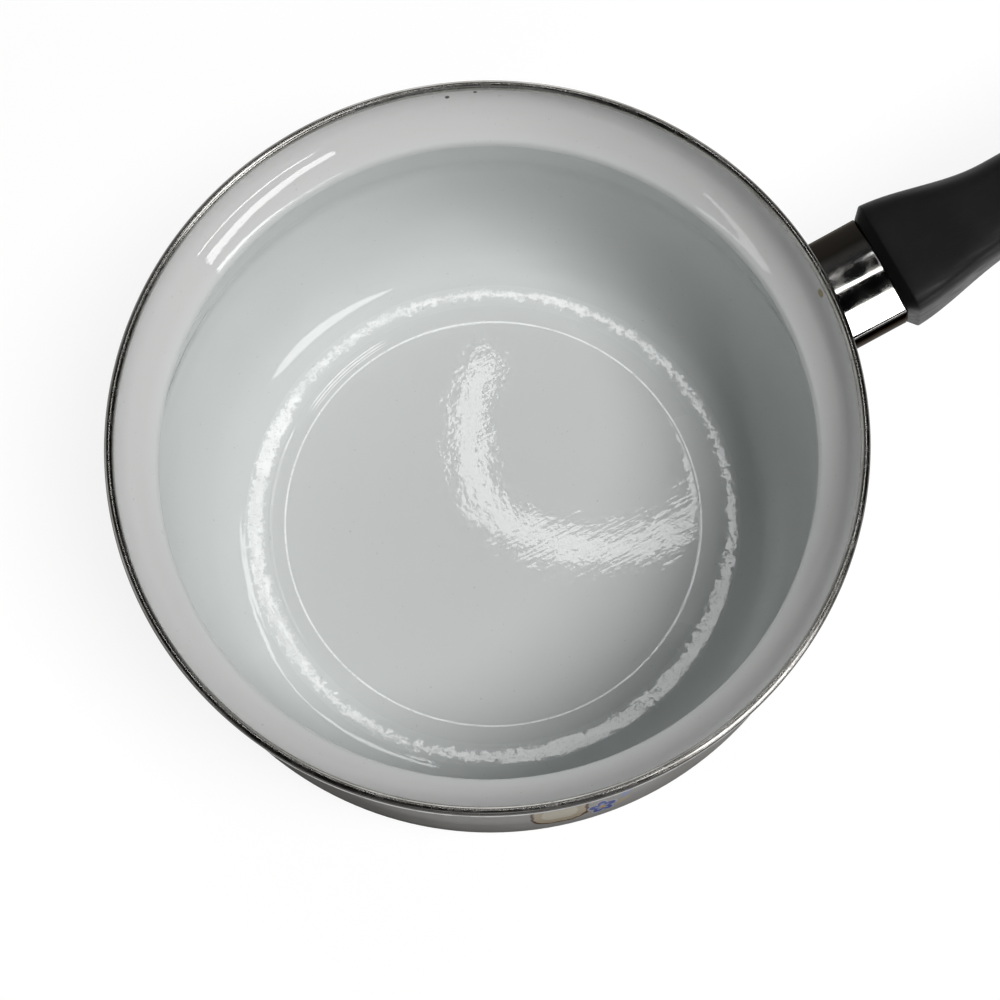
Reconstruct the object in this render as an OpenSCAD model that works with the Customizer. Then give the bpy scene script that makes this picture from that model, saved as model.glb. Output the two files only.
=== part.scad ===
// Enamelled saucepan with a lid-seat collar, a steel rim band and a tie-bolted handle.
// Origin: centre of the base, on the table. The handle points along +X and rises outwards.

/* [Pan body] */
// Outside diameter of the pan, over the rim band
rim_d = 200; // [170:1:240]
// Height from the table to the top of the rim band
pan_h = 98.6; // [85:0.1:130]
// Thickness of the enamelled steel sheet
wall = 1.3; // [0.8:0.1:2]
// Height of the straight lip that the rim band clips over
lip_h = 4.6; // [3.5:0.1:6]
// How far the ridge that a lid rests on stands inside the rim band's outside
neck_in = 10.8; // [8:0.1:16]
// Depth of that ridge below the top of the rim band
neck_drop = 18.9; // [15:0.1:24]
// Inside radius of the bead that forms the ridge
ridge_r = 3; // [2.2:0.1:4]
// How far the outside of the belly lies inside the rim band's outside
belly_in = 0.5; // [0:0.1:4]
// Height above the table where the belly starts to turn in towards the base
belly_z = 38; // [30:0.5:45]
// Height of the straight upright band of the belly, above that turn
belly_band = 4; // [1:0.5:8]
// Length of the plain cone below the neck, measured down the pan
cone_h = 19; // [10:0.5:22]
// How far the middle of the step that stiffens the base lies inside the rim band's outside
step_in = 34.9; // [30:0.1:42]
// Width of that step
step_w = 2.2; // [2:0.1:3]
// How far the middle of the base lies below the shelf around it
step_drop = 0.4; // [0.2:0.05:0.6]
// Width of that shelf, from the middle of the step to where the floor starts to rise
shelf_w = 4.4; // [3:0.1:8]
// Width of the fine step that ends the shelf
crease_w = 0.8; // [0.6:0.1:1.5]
// Height of that fine step
crease_rise = 0.1; // [0.05:0.05:0.2]
// Inside radius of the gentle rise around the floor
rise_r = 50; // [35:1:70]
// Width of the gentle rise
rise_w = 11; // [6:0.1:13]
// Inside radius of the tighter turn at the foot of the wall
heel_r = 12; // [9:0.5:16]

/* [Rim band] */
// Thickness of the stainless strip
band_t = 0.5; // [0.3:0.05:0.8]
// Height of the band's outer leg, from the top of the band
band_out = 4; // [2.5:0.1:6]
// Height of the band's inner leg, from the top of the band
band_in = 1.9; // [1.5:0.1:3]

/* [Handle joint] */
// Height at which the handle's axis meets the pan's side
seat_z = 63.4; // [55:0.2:66]
// Angle at which the handle rises
handle_rise = 12; // [5:0.5:20]
// Width of the chromed ferrule
ferrule_w = 31; // [27:0.5:36]
// Height of the chromed ferrule at the crown of its arches
ferrule_h = 19; // [17:0.5:22]
// Height of the ferrule's flat sides
ferrule_side = 12; // [8:0.5:14]
// Radius of the ferrule's long edges
ferrule_edge = 1.4; // [1.2:0.1:2.5]
// Thickness of the ferrule's sheet
ferrule_t = 0.8; // [0.5:0.1:1]
// Length of the ferrule along its axis, from the pan's side
ferrule_l = 29.3; // [24:0.1:45]
// Thickness of the bracket's steel
bracket_t = 1.5; // [1:0.1:2]
// Length of the bracket along the same axis
bracket_l = 17.8; // [15:0.1:19]

/* [Grip] */
// Length of the grip
grip_l = 140; // [110:1:160]
// Width of the grip at its front face
front_w = 35.5; // [33:0.5:40]
// Height of the grip at its front face
front_h = 23; // [21:0.5:26]
// Chamfer around the front face
front_chamfer = 2.6; // [1:0.1:3]
// Width at the waist behind the front
waist_w = 25; // [22:0.5:30]
// Height at the waist
waist_h = 17; // [15:0.5:20]
// Width of the palm swell
palm_w = 27; // [24:0.5:28]
// Height of the palm swell
palm_h = 20.5; // [18:0.5:24]
// Width at the tail
tail_w = 24; // [22:0.5:25]
// Height at the tail
tail_h = 16.5; // [15:0.5:20]
// Length of the rounded tail end
tail_round = 6; // [3:0.5:8]
// Length of the spigot that stands in the ferrule
spigot_l = 8; // [5:0.5:9]

/* [Tie bolt] */
// Diameter of the tie bolt
bolt_d = 6; // [5:0.5:6.5]
// Diameter of its cheese head
head_d = 10; // [9:0.5:10.5]
// Height of its cheese head
head_h = 4; // [3:0.1:5]
// Width of the driver slot
slot_w = 1.6; // [1:0.1:2]
// Depth of the driver slot
slot_depth = 1.8; // [1:0.1:2.5]
// Diameter of the washer under the head
washer_d = 11.4; // [11:0.1:12]
// Thickness of the washer
washer_t = 1; // [0.8:0.1:1.5]
// Depth of the recess in the tail that takes the head
recess_depth = 9; // [7.5:0.5:11]
// Width across the flats of the bracket nut
nut_af = 10; // [8.5:0.5:11]
// Thickness of the bracket nut
nut_t = 5; // [4:0.5:6]

/* [Hanging loop] */
// Diameter of the loop's wire
wire_d = 3; // [2.5:0.1:3.5]
// Width of the loop between the middles of its two legs
loop_w = 29.8; // [29.6:0.1:32]
// Distance from the pivot to the middle of the wire at the bow
loop_l = 31; // [28:0.5:45]
// Distance from the tail end back to the pivot
pivot_back = 9; // [8:0.5:12]
// Length of the turned-in ends, measured from the middle of each leg
pin_l = 6.2; // [5.5:0.1:6.4]
// Radius, at the middle of the wire, of the bend into each turned-in end
wire_bend = 2.2; // [2:0.1:2.4]

/* [Hidden] */

// Clearance of pieces that bear on each other
seat_gap = 0.05;
// Clearance of the bracket inside the ferrule, and of the spigot
sleeve_gap = 0.3;
// Clearance around the bolt's shank in the grip and the bracket
shank_gap = 0.35;
// Clearance of the head and washer in the recess
recess_gap = 0.4;
// Running clearance of the loop's ends in their holes
pin_gap = 0.05;
// Length that each turned-in end stops short of the bottom of its hole
pin_end_gap = 0.4;
// Length of thread past the nut
thread_past = 1;
// How far every cut runs past what it cuts
overrun = 1;

// Angle of the cone below the neck, from upright
cone_angle = 15;
// Angle at which the collar runs into the ridge, from level
collar_angle = 45;
// Angle of the wall at the end of the turn at its foot, from level
heel_angle = 42;
// Steps in each curve of the profile
curve_steps = 10;
// Facets of turned surfaces
turn_fn = 96;

rim_r = rim_d / 2;
neck_r = rim_r - neck_in;
belly_r = rim_r - belly_in - wall;
step_r = rim_r - step_in;
floor_r = step_r + shelf_w;
crown_r = wall / 2 + seat_gap + band_t;
sheet_r = rim_r - crown_r;
lip_r = sheet_r - wall / 2;
edge_z = pan_h - crown_r;
lip_z = pan_h - lip_h;
neck_z = pan_h - neck_drop;
inner_floor_z = wall;
shelf_z = inner_floor_z + step_drop;

function unit(v) = v / norm(v);
function reversed(list) = [for (i = [len(list) - 1:-1:0]) list[i]];
function toward(angle) = [cos(angle), sin(angle)];

// Stretch of an ellipse about c, from one angle to another
function arc(c, rx, rz, a0, a1) =
    [for (i = [0:curve_steps])
        let (a = a0 + (a1 - a0) * i / curve_steps)
        c + [rx * cos(a), rz * sin(a)]];

// Smooth curve from p, leaving at angle pa, to q, arriving at angle qa
function curve(p, pa, q, qa) =
    let (reach = norm(q - p) / 3, p1 = p + reach * toward(pa), q1 = q - reach * toward(qa))
    [for (i = [0:curve_steps])
        let (t = i / curve_steps, s = 1 - t)
        s * s * s * p + 3 * s * s * t * p1 + 3 * s * t * t * q1 + t * t * t * q];

function without_last(list) = [for (i = [0:len(list) - 2]) list[i]];
function without_first(list) = [for (i = [1:len(list) - 1]) list[i]];

// Direction out of the pan at each point of a path that runs from the rim to the middle of the base
function outward(path, i) =
    let (a = path[max(i - 1, 0)], b = path[min(i + 1, len(path) - 1)], d = unit(b - a))
    [-d[1], d[0]];
function pushed_out(path, by) = [for (i = [0:len(path) - 1]) path[i] + by * outward(path, i)];

// Inner face of the pan: lip, collar, ridge, cone, belly, wall foot, rise, shelf, step and floor
ridge_c = [neck_r + ridge_r, neck_z];
collar_start = [lip_r, lip_z];
ridge_top = ridge_c + ridge_r * toward(180 - collar_angle);
cone_top = ridge_c + ridge_r * toward(180 + cone_angle);
cone_end = cone_top + cone_h * [tan(cone_angle), -1];
rise_start = [floor_r + crease_w, shelf_z + crease_rise];
rise_c = rise_start + [0, rise_r];
rise_angle = asin(rise_w / rise_r);
heel_c = rise_c + (rise_r - heel_r) * toward(rise_angle - 90);
heel_top = heel_c + heel_r * toward(heel_angle - 90);
inner_path = concat(
    [[lip_r, edge_z]],
    without_last(curve(collar_start, -90, ridge_top, 180 + collar_angle)),
    arc(ridge_c, ridge_r, ridge_r, 180 - collar_angle, 180 + cone_angle),
    curve(cone_end, cone_angle - 90, [belly_r, belly_z + belly_band], -90),
    curve([belly_r, belly_z], -90, heel_top, 180 + heel_angle),
    without_first(arc(heel_c, heel_r, heel_r, heel_angle - 90, rise_angle - 90)),
    without_first(arc(rise_c, rise_r, rise_r, rise_angle - 90, -90)),
    without_first(curve(rise_start, 180, [floor_r, shelf_z], 180)),
    curve([step_r + step_w / 2, shelf_z], 180, [step_r - step_w / 2, inner_floor_z], 180),
    [[0, inner_floor_z]]
);
outer_path = pushed_out(inner_path, wall);

// Radius of the pan's outer face at the height of the handle's seat
seat_r = lookup(seat_z, [for (p = outer_path) [p[1], p[0]]]);

// Everything inside the pan's outer face, grown by a clearance
module pan_envelope(clearance) {
    path = pushed_out(inner_path, wall + clearance);
    rotate_extrude($fn = turn_fn)
        polygon(concat(path, [[0, path[0][1]]]));
}

module pan_body() {
    color("whitesmoke")
        rotate_extrude($fn = turn_fn)
            polygon(concat(inner_path, reversed(outer_path)));
}

// U-shaped strip: half-round crown over the sheet's edge, long leg outside, short leg inside
module rim_band() {
    crown = [sheet_r, edge_z];
    hollow_r = crown_r - band_t;
    color("silver")
        rotate_extrude($fn = turn_fn)
            polygon(concat(
                [[sheet_r + crown_r, pan_h - band_out]],
                arc(crown, crown_r, crown_r, 0, 180),
                [[sheet_r - crown_r, pan_h - band_in], [sheet_r - hollow_r, pan_h - band_in]],
                arc(crown, hollow_r, hollow_r, 180, 0),
                [[sheet_r + hollow_r, pan_h - band_out]]
            ));
}

// Handle frame: x along the handle's axis from the pan's side, y across, z up from the axis
module on_handle() {
    translate([seat_r, 0, seat_z])
        rotate([0, -handle_rise, 0])
            children();
}

// Extrudes a section from one place on the handle's axis to another
module along_handle(from, to) {
    translate([from, 0, 0])
        rotate([90, 0, 90])
            linear_extrude(to - from)
                children();
}

module rod(from, to, r) {
    translate([from, 0, 0])
        rotate([0, 90, 0])
            cylinder(h = to - from, r = r, $fn = turn_fn);
}

// Ferrule section shrunk by an inset: flat sides, arched top and bottom, rounded long edges
arch_rise = (ferrule_h - ferrule_side) / 2;
arch_r = (pow(ferrule_w / 2, 2) + pow(arch_rise, 2)) / (2 * arch_rise);
arch_c = ferrule_h / 2 - arch_r;
function ferrule_outline(inset) =
    let (
        r = arch_r - inset,
        edge = max(ferrule_edge - inset, ferrule_edge / 4),
        side = ferrule_w / 2 - inset,
        edge_y = side - edge,
        edge_up = arch_c + sqrt(pow(r - edge, 2) - pow(edge_y, 2)),
        turn = atan2(edge_up - arch_c, edge_y)
    )
    concat(
        arc([edge_y, edge_up], edge, edge, 0, turn),
        arc([0, arch_c], r, r, turn, 180 - turn),
        arc([-edge_y, edge_up], edge, edge, 180 - turn, 180),
        arc([-edge_y, -edge_up], edge, edge, 180, 180 + turn),
        arc([0, -arch_c], r, r, 180 + turn, 360 - turn),
        arc([edge_y, -edge_up], edge, edge, 360 - turn, 360)
    );
module ferrule_section(inset) {
    polygon(ferrule_outline(inset));
}

// The sleeves start well inside the pan's side, before that side trims them
joint_start = -ferrule_h / 2;
bracket_inset = ferrule_t + sleeve_gap;

// Chromed sleeve, cut to the pan's side, between the pan and the grip's front face
module ferrule() {
    color("lightgray")
        difference() {
            on_handle()
                along_handle(joint_start, ferrule_l)
                    ferrule_section(0);
            on_handle()
                along_handle(joint_start - overrun, ferrule_l + overrun)
                    ferrule_section(ferrule_t);
            pan_envelope(seat_gap);
        }
}

// Drawn cup, welded to the pan by its open end, with a bolt hole in its end plate
module handle_bracket() {
    color("gainsboro")
        difference() {
            on_handle()
                along_handle(joint_start, bracket_l)
                    ferrule_section(bracket_inset);
            on_handle()
                along_handle(joint_start - overrun, bracket_l - bracket_t)
                    ferrule_section(bracket_inset + bracket_t);
            on_handle()
                rod(bracket_l - bracket_t - overrun, bracket_l + overrun, bolt_d / 2 + shank_gap);
            pan_envelope(seat_gap);
        }
}

nut_end = bracket_l - bracket_t - seat_gap;
nut_start = nut_end - nut_t;

// Hexagon nut caught behind the bracket's end plate
module bracket_nut() {
    color("darkgray")
        on_handle()
            difference() {
                translate([nut_start, 0, 0])
                    rotate([0, 90, 0])
                        cylinder(h = nut_t, d = nut_af / cos(30), $fn = 6);
                rod(nut_start - overrun, nut_end + overrun, bolt_d / 2 + seat_gap);
            }
}

grip_start = ferrule_l + seat_gap;
grip_end = grip_start + grip_l;
recess_floor = grip_end - recess_depth;
pivot_x = grip_end - pivot_back;

// Places along the grip, as shares of its length, with the width and height there
grip_place_shares = [0, 0.27, 0.56, 1];
grip_widths = [front_w, waist_w, palm_w, tail_w];
grip_heights = [front_h, waist_h, palm_h, tail_h];
// Squareness of the section there: 2 is an ellipse, more is squarer
grip_squares = [7, 4, 3.2, 4];
grip_stations = 26;
grip_points = 40;
tail_steps = 6;
// How far round the tail's edge turns before its flat end
tail_angle = 75;

function eased(t) = t * t * (3 - 2 * t);
function stretch(s) = s >= grip_place_shares[2] ? 2 : s >= grip_place_shares[1] ? 1 : 0;
function grip_size(sizes, s) =
    let (
        k = stretch(s),
        a = grip_place_shares[k],
        t = (s - a) / (grip_place_shares[k + 1] - a)
    )
    sizes[k] + (sizes[k + 1] - sizes[k]) * eased(t);
function squared(v, square) = sign(v) * pow(abs(v), 2 / square);

// One ring of the grip at x, with its section drawn in by the given amount
function grip_ring(x, drawn_in) =
    let (
        s = (x - grip_start) / grip_l,
        square = grip_size(grip_squares, s),
        half_w = grip_size(grip_widths, s) / 2 - drawn_in,
        half_h = grip_size(grip_heights, s) / 2 - drawn_in
    )
    [for (j = [0:grip_points - 1])
        let (a = 360 * (j + 0.5) / grip_points)
        [x, half_w * squared(cos(a), square), half_h * squared(sin(a), square)]];

// Skin over rings of equal count, closed at both ends
module skin(rings) {
    count = len(rings[0]);
    last = len(rings) - 1;
    polyhedron(
        points = [for (ring = rings) for (p = ring) p],
        faces = concat(
            [[for (j = [0:count - 1]) j]],
            [for (i = [0:last - 1]) for (j = [0:count - 1]) for (half = [0, 1])
                let (k = (j + 1) % count, a = i * count, b = a + count)
                half == 0 ? [a + j, b + k, a + k] : [a + j, b + j, b + k]],
            [[for (j = [count - 1:-1:0]) last * count + j]]
        )
    );
}

// Moulded grip: chamfered front, waist, palm swell and rounded tail
module grip_blank() {
    body_l = grip_l - front_chamfer - tail_round;
    skin(concat(
        [grip_ring(grip_start, front_chamfer)],
        [for (i = [0:grip_stations])
            grip_ring(grip_start + front_chamfer + body_l * i / grip_stations, 0)],
        [for (i = [1:tail_steps])
            let (a = tail_angle * i / tail_steps)
            grip_ring(grip_end - tail_round * (1 - sin(a) / sin(tail_angle)), tail_round * (1 - cos(a)))]
    ));
}

module grip() {
    hole_bottom = loop_w / 2 - pin_l - pin_end_gap;
    color([0.06, 0.06, 0.065])
        on_handle()
            difference() {
                union() {
                    grip_blank();
                    along_handle(grip_start - spigot_l, grip_start + overrun)
                        ferrule_section(bracket_inset);
                }
                rod(grip_start - spigot_l - overrun, grip_end + overrun, bolt_d / 2 + shank_gap);
                rod(recess_floor, grip_end + overrun, washer_d / 2 + recess_gap);
                for (side = [-1, 1])
                    translate([pivot_x, side * hole_bottom, 0])
                        rotate([-90 * side, 0, 0])
                            cylinder(h = palm_w / 2, r = wire_d / 2 + pin_gap, $fn = turn_fn);
            }
}

washer_start = recess_floor + seat_gap;
head_start = washer_start + washer_t + seat_gap;
head_end = head_start + head_h;

// Long bolt with a slotted cheese head, from the tail recess to the bracket nut
module tie_bolt() {
    color("silver")
        on_handle()
            difference() {
                union() {
                    rod(nut_start - thread_past, head_start, bolt_d / 2);
                    rod(head_start, head_end, head_d / 2);
                }
                translate([head_end - slot_depth, -head_d, -slot_w / 2])
                    cube([slot_depth + overrun, 2 * head_d, slot_w]);
            }
}

module bolt_washer() {
    color("silver")
        on_handle()
            difference() {
                rod(washer_start, washer_start + washer_t, washer_d / 2);
                rod(washer_start - overrun, washer_start + washer_t + overrun, bolt_d / 2 + shank_gap);
            }
}

// Bend in the loop's wire, about the z axis
module wire_turn(r, angle) {
    rotate_extrude(angle = angle, $fn = turn_fn)
        translate([r, 0])
            circle(r = wire_d / 2, $fn = turn_fn);
}

// Wire loop as it hangs: turned-in ends, two straight legs and a half-round bow
pivot = [seat_r + pivot_x * cos(handle_rise), 0, seat_z + pivot_x * sin(handle_rise)];
half_turn = 180;
module hanging_loop() {
    wire_r = wire_d / 2;
    bow_r = loop_w / 2;
    leg_end = bow_r - loop_l;
    color("silver")
        translate(pivot) {
            translate([0, 0, leg_end])
                rotate([90, 0, 90])
                    rotate([0, 0, half_turn])
                        wire_turn(bow_r, half_turn);
            for (side = [-1, 1]) {
                translate([0, side * bow_r, leg_end])
                    cylinder(h = -leg_end - wire_bend, r = wire_r, $fn = turn_fn);
                translate([0, side * (bow_r - wire_bend), -wire_bend])
                    rotate([90, 0, side * 90])
                        wire_turn(wire_bend, 90);
                translate([0, side * (bow_r - pin_l), 0])
                    rotate([-90 * side, 0, 0])
                        cylinder(h = pin_l - wire_bend, r = wire_r, $fn = turn_fn);
            }
        }
}

echo(loop_pivot_mm = pivot);

pan_body();
rim_band();
handle_bracket();
bracket_nut();
ferrule();
grip();
tie_bolt();
bolt_washer();
hanging_loop();
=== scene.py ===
import math

import bmesh
import bpy
from mathutils import Matrix, Vector


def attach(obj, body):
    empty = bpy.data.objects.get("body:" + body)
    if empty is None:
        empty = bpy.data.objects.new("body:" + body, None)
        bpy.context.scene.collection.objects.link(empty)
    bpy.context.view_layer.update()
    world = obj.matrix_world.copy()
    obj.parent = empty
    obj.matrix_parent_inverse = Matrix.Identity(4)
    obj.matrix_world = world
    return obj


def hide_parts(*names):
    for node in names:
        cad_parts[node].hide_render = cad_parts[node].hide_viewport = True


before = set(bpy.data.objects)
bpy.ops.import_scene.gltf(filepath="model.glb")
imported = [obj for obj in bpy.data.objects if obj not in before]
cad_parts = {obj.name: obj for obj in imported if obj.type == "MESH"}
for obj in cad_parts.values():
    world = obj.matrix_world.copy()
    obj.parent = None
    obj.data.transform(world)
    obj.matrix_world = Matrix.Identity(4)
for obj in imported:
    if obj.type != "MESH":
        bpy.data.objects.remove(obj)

bpy.context.view_layer.update()

# ---------------------------------------------------------------- Pan body
# One deep-drawn steel sheet with its enamel, 1.3 mm thick: a flared collar, an inner ridge that a
# lid rests on, a bulging belly and a base stiffened by a pressed step. The floor is worn by spoons.
wall = 0.0013
rim_radius = 0.09997
pan_height = 0.0986
crown_radius = wall / 2 + 0.00055
sheet_radius = rim_radius - crown_radius
lip_radius = sheet_radius - wall / 2
edge_height = pan_height - crown_radius
ridge_bead = 0.003
ridge_centre = Vector((rim_radius - 0.0108 + ridge_bead, pan_height - 0.0189))
cone_angle = 15
cone_length = 0.019
belly_radius = rim_radius - 0.0005 - wall
belly_height = 0.038
belly_band = 0.004
step_radius = rim_radius - 0.0349
step_width = 0.0022
shelf_height = wall + 0.0004
floor_radius = step_radius + 0.0044
crease_width = 0.0008
crease_rise = -0.00012
rise_radius = 0.050
rise_width = 0.011
heel_radius = 0.012
heel_angle = 42
flank_angle = 4.9
flank_width = 0.0005
flat_height = wall + 0.00007
ring_slope = 5.6
ring_width = 0.0043
ring_out = 0.0764
turn_steps = 192
longest_stretch = 0.0025
collar_drop = 0.0046
ridge_facing = 135
ring_rise = 0.00009
ring_foot_width = 0.0008
ring_foot_slope = 8
ring_foot_turn = 10.5
flank_rise = 0.00001
flank_lead = 0.0003
flank_tail = 0.0001


def toward(degrees):
    """Unit vector at an angle in the plane of a profile."""
    return Vector((math.cos(math.radians(degrees)), math.sin(math.radians(degrees))))


def arc(centre, radius, start, end, steps=12):
    """Points of an arc from one angle to another."""
    return [
        centre + radius * toward(start + (end - start) * i / steps)
        for i in range(steps + 1)
    ]


def curve(start, leaving, end, arriving, steps=12):
    """Points of a smooth curve that leaves and arrives at given angles."""
    reach = (end - start).length / 3
    first = start + reach * toward(leaving)
    second = end - reach * toward(arriving)
    points = []
    for i in range(steps + 1):
        t = i / steps
        s = 1 - t
        points.append(
            s**3 * start + 3 * s * s * t * first + 3 * s * t * t * second + t**3 * end
        )
    return points


def filled(path, longest):
    """The path with long stretches divided, so that its shading stays even."""
    points = [path[0]]
    for a, b in zip(path, path[1:]):
        parts = max(1, math.ceil((b - a).length / longest))
        points += [a.lerp(b, i / parts) for i in range(1, parts + 1)]
    return points


def pushed_out(path, distance):
    """The path moved sideways, out of the pan."""
    moved = []
    for i, point in enumerate(path):
        along = path[min(i + 1, len(path) - 1)] - path[max(i - 1, 0)]
        along.normalize()
        moved.append(point + distance * Vector((-along.y, along.x)))
    return moved


def add_turned(mesh, path, steps=turn_steps, closed=False):
    """Spins a profile of radius and height round the pan's axis, and returns its faces."""
    corners = [mesh.verts.new((point.x, 0, point.y)) for point in path]
    lines = [mesh.edges.new(pair) for pair in zip(corners, corners[1:])]
    if closed:
        lines.append(mesh.edges.new((corners[-1], corners[0])))
    before = set(mesh.faces)
    bmesh.ops.spin(
        mesh,
        geom=corners + lines,
        cent=(0, 0, 0),
        axis=(0, 0, 1),
        angle=2 * math.pi,
        steps=steps,
        use_merge=True,
    )
    return [face for face in mesh.faces if face not in before]


def finished(mesh, name, body, replaced, materials, sharp=40):
    """Turns a bmesh into a piece that rides on a body and stands for a CAD node."""
    data = bpy.data.meshes.new(name)
    mesh.to_mesh(data)
    mesh.free()
    data.shade_smooth()
    data.set_sharp_from_angle(angle=math.radians(sharp))
    for material in materials:
        data.materials.append(material)
    piece = bpy.data.objects.new(name, data)
    bpy.context.scene.collection.objects.link(piece)
    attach(piece, body)
    if replaced:
        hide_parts(replaced)
    return piece


cone_top = ridge_centre + ridge_bead * toward(180 + cone_angle)
cone_end = cone_top + cone_length * Vector((math.tan(math.radians(cone_angle)), -1))
rise_start = Vector((floor_radius + crease_width, shelf_height + crease_rise))
rise_centre = rise_start + Vector((0, rise_radius))
rise_angle = math.degrees(math.asin(rise_width / rise_radius))
heel_centre = rise_centre + (rise_radius - heel_radius) * toward(rise_angle - 90)
heel_top = heel_centre + heel_radius * toward(heel_angle - 90)

inside = [Vector((lip_radius, edge_height))]
inside += curve(
    Vector((lip_radius, pan_height - collar_drop)),
    -90,
    ridge_centre + ridge_bead * toward(ridge_facing),
    ridge_facing + 90,
)[:-1]
inside += arc(ridge_centre, ridge_bead, ridge_facing, 180 + cone_angle)
inside += curve(
    cone_end, cone_angle - 90, Vector((belly_radius, belly_height + belly_band)), -90
)
inside += curve(
    Vector((belly_radius, belly_height)), -90, heel_top, 180 + heel_angle, 20
)
inside += arc(heel_centre, heel_radius, heel_angle - 90, rise_angle - 90, 8)[1:]
rise_top = rise_centre + rise_radius * toward(rise_angle - 90)
ring_in = Vector((ring_out - ring_width, flat_height + ring_rise))
ring_end = ring_in + ring_width * Vector((1, math.tan(math.radians(ring_slope))))
ring_foot = ring_end + ring_foot_width * Vector(
    (1, math.tan(math.radians(ring_foot_slope)))
)
inside += curve(rise_top, 180 + rise_angle, ring_foot, 180 + ring_foot_turn, 6)[1:]
inside += curve(ring_foot, 180 + ring_foot_turn, ring_end, 180 + ring_slope, 3)[1:]
inside += [ring_end.lerp(ring_in, i / 6) for i in range(1, 6)]
inside += curve(
    ring_in,
    180 + ring_slope,
    Vector((floor_radius + crease_width, flat_height)),
    180,
    6,
)
flank = math.tan(math.radians(flank_angle))
foot = Vector((step_radius - flank_width / 2, wall + flank_rise))
crest_at = foot + Vector((flank_width, flank_width * flank))
inside += curve(
    Vector((crest_at.x + flank_lead, flat_height)),
    180,
    crest_at,
    180 + flank_angle,
    3,
)[:-1]
inside += [crest_at.lerp(foot, i / 4) for i in range(5)]
inside += curve(
    foot - flank_tail * Vector((1, flank)),
    180 + flank_angle,
    Vector((step_radius - step_width / 2, wall)),
    180,
    3,
)
inside.append(Vector((0, wall)))
inside = filled(inside, longest_stretch)
outside = pushed_out(inside, wall)
outside[-1] = Vector((0, 0))

pan = bmesh.new()
add_turned(pan, inside)
for face in add_turned(pan, [inside[0]] + outside):
    face.material_index = 1
bmesh.ops.remove_doubles(pan, verts=pan.verts, dist=1e-7)
bmesh.ops.recalc_face_normals(pan, faces=pan.faces)


def new_finish(name, metallic=0.0, specular=0.5):
    """A material with one shader, and the shader itself."""
    material = bpy.data.materials.new(name)
    material.use_nodes = True
    shader = material.node_tree.nodes["Principled BSDF"]
    shader.inputs["Metallic"].default_value = metallic
    shader.inputs["Specular IOR Level"].default_value = specular
    return material, shader


def plug(target, value):
    """Sets an input to a constant, or links it to another node's output."""
    if isinstance(value, bpy.types.NodeSocket):
        value.id_data.links.new(value, target)
    elif target.type == "RGBA" and len(value) == 3:
        target.default_value = (*value, 1)
    else:
        target.default_value = value


def add(shader, kind, inputs=(), output=0, **settings):
    """Adds a node beside the shader and returns one of its outputs."""
    node = shader.id_data.nodes.new("ShaderNode" + kind)
    for name, value in settings.items():
        setattr(node, name, value)
    for key, value in dict(inputs).items():
        plug(node.inputs[key], value)
    return node.outputs[output]


def calc(shader, operation, a, b=0.0, c=0.0):
    return add(shader, "Math", {0: a, 1: b, 2: c}, operation=operation)


def ramp(shader, value, low, high, to_low=0.0, to_high=1.0):
    """Maps a value smoothly from one range onto another."""
    return add(
        shader,
        "MapRange",
        {0: value, 1: low, 2: high, 3: to_low, 4: to_high},
        interpolation_type="SMOOTHSTEP",
    )


def tinted(shader, share, a, b, blend="MIX"):
    """Mixes two colours by a share."""
    return add(
        shader,
        "Mix",
        {0: share, 6: a, 7: b},
        output=2,
        data_type="RGBA",
        blend_type=blend,
    )


def place(shader):
    """Object coordinates of the point being shaded, in metres."""
    return add(shader, "TexCoord", output=3)


def noise(shader, where, scale, detail=2.0, roughness=0.5, distortion=0.0):
    return add(
        shader,
        "TexNoise",
        {
            "Vector": where,
            "Scale": scale,
            "Detail": detail,
            "Roughness": roughness,
            "Distortion": distortion,
        },
    )


def stretched(shader, where, scale, turn=(0, 0, 0)):
    """Coordinates turned and stretched, for scratches that run one way."""
    return add(
        shader,
        "Mapping",
        {"Vector": where, "Rotation": [math.radians(a) for a in turn], "Scale": scale},
    )


def bumped(shader, height, depth, below=None):
    """Adds a relief of a given depth, in metres, to the shader's normal."""
    inputs = {"Height": height, "Distance": depth, "Strength": 1.0}
    if below is not None:
        inputs["Normal"] = below
    return add(shader, "Bump", inputs)


def near(shader, where, spot, radius, fade):
    """1 within a radius of a spot, falling to 0 over a fade."""
    away = add(
        shader, "VectorMath", {0: where, 1: spot}, output=1, operation="DISTANCE"
    )
    return ramp(shader, away, radius, radius + fade, 1.0, 0.0)


def radius_of(shader, where):
    """Distance of the shaded point from the pan's axis."""
    flat = add(
        shader, "VectorMath", {0: where, 1: (1, 1, 0)}, operation="MULTIPLY"
    )
    return add(shader, "VectorMath", {0: flat}, output=1, operation="LENGTH")


def within(shader, value, low, high, fade):
    """1 between two values, fading to 0 outside them."""
    rising = ramp(shader, value, low - fade, low)
    falling = ramp(shader, value, high, high + fade, 1.0, 0.0)
    return calc(shader, "MULTIPLY", rising, falling)


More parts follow.
